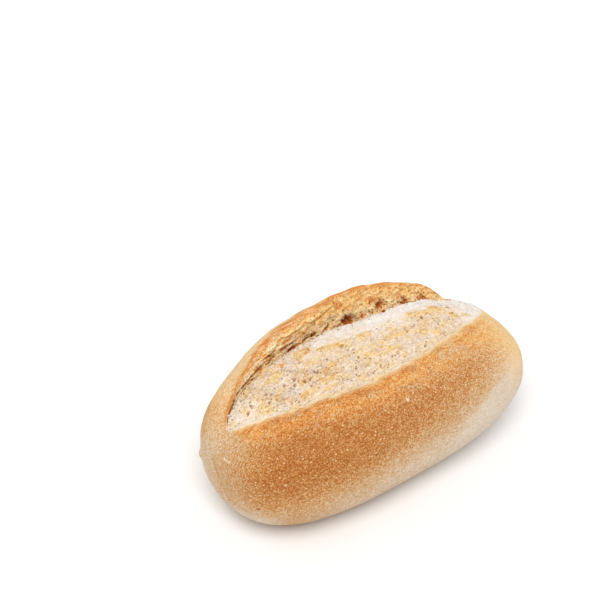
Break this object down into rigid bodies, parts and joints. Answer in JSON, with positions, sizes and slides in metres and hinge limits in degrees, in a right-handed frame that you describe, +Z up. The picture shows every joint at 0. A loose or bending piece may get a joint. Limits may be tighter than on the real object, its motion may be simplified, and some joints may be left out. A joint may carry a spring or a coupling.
{
  "type": "crusty white roll",
  "caption": "Oblong crusty white bread roll with a flat base, its lengthwise score burst open into a pale swell beside a tall torn ear of crust.",
  "frame": {"origin": "middle of the flat base, under the centre of the roll's box", "axes": "+Z up, +X along the roll, +Y across it towards the side whose crust lifts into the ear"},
  "size_m": [0.125, 0.0646, 0.0548],
  "materials": {
    "crust": "matte baked crust, floury where it burst"
  },
  "bodies": {
    "root": {"roll": "crust"}
  },
  "joints": []
}
